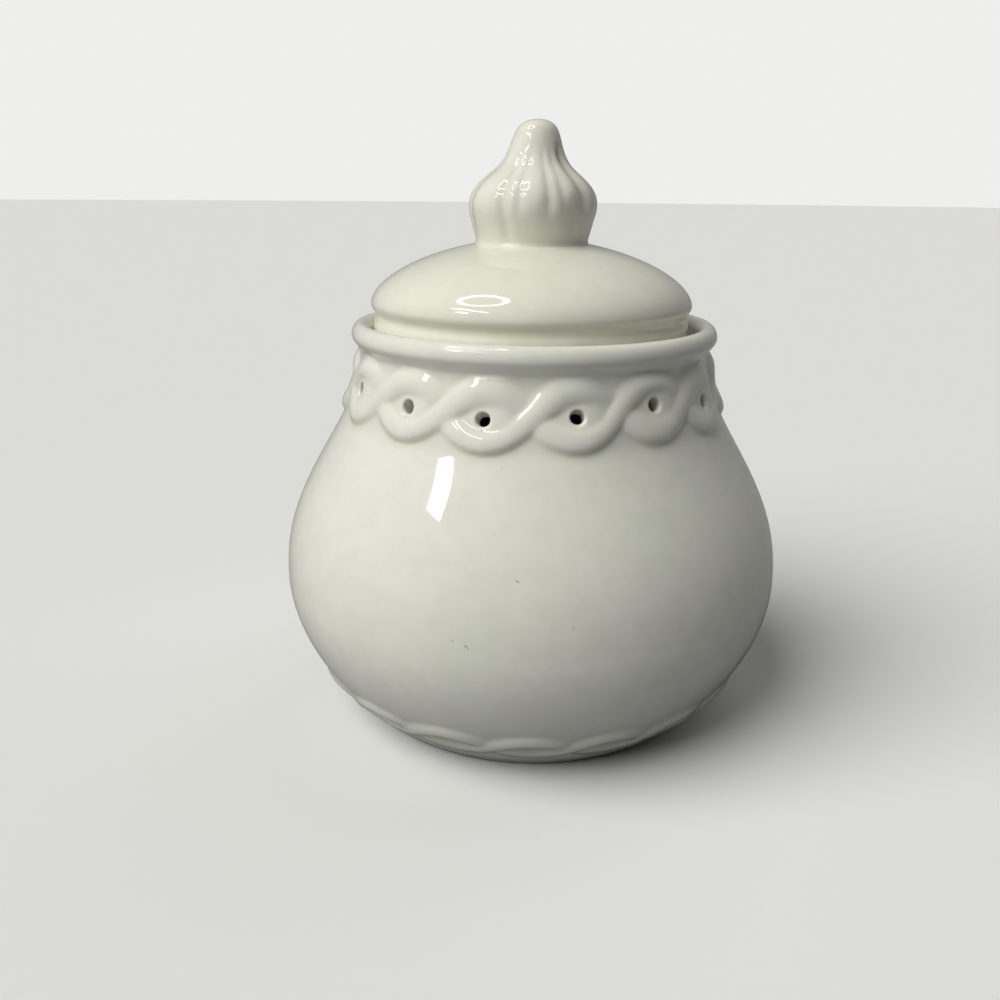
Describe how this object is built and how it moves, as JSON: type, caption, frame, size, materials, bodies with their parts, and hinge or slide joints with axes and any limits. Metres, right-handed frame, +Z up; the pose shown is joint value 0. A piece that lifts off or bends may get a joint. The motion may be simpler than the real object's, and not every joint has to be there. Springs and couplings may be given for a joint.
{
  "type": "lidded ceramic garlic keeper",
  "caption": "Pear-shaped white glazed ceramic garlic keeper with a pierced rope band round its shoulder and a loose domed lid with a garlic-bulb knob.",
  "frame": {"origin": "centre of the foot, on the surface that the jar stands on", "axes": "+Z up along the jar's axis; -Y towards the viewer of the picture; +X to the right"},
  "size_m": [0.15, 0.15, 0.1722],
  "materials": {
    "glaze_body": "glossy cream-white glaze",
    "glaze_relief": "glossy cream-white glaze",
    "glaze_lid": "glossy cream-white glaze"
  },
  "bodies": {
    "jar": {"jar": "glaze_body", "shoulder_rope": "glaze_relief", "foot_rope": "glaze_relief"},
    "lid": {"lid": "glaze_lid", "garlic_knob": "glaze_lid"}
  },
  "joints": [
    {"name": "lid_lift", "type": "slide", "parent": "jar", "child": "lid", "axis": [0, 0, 1], "range_m": [0, 0.12]}
  ]
}
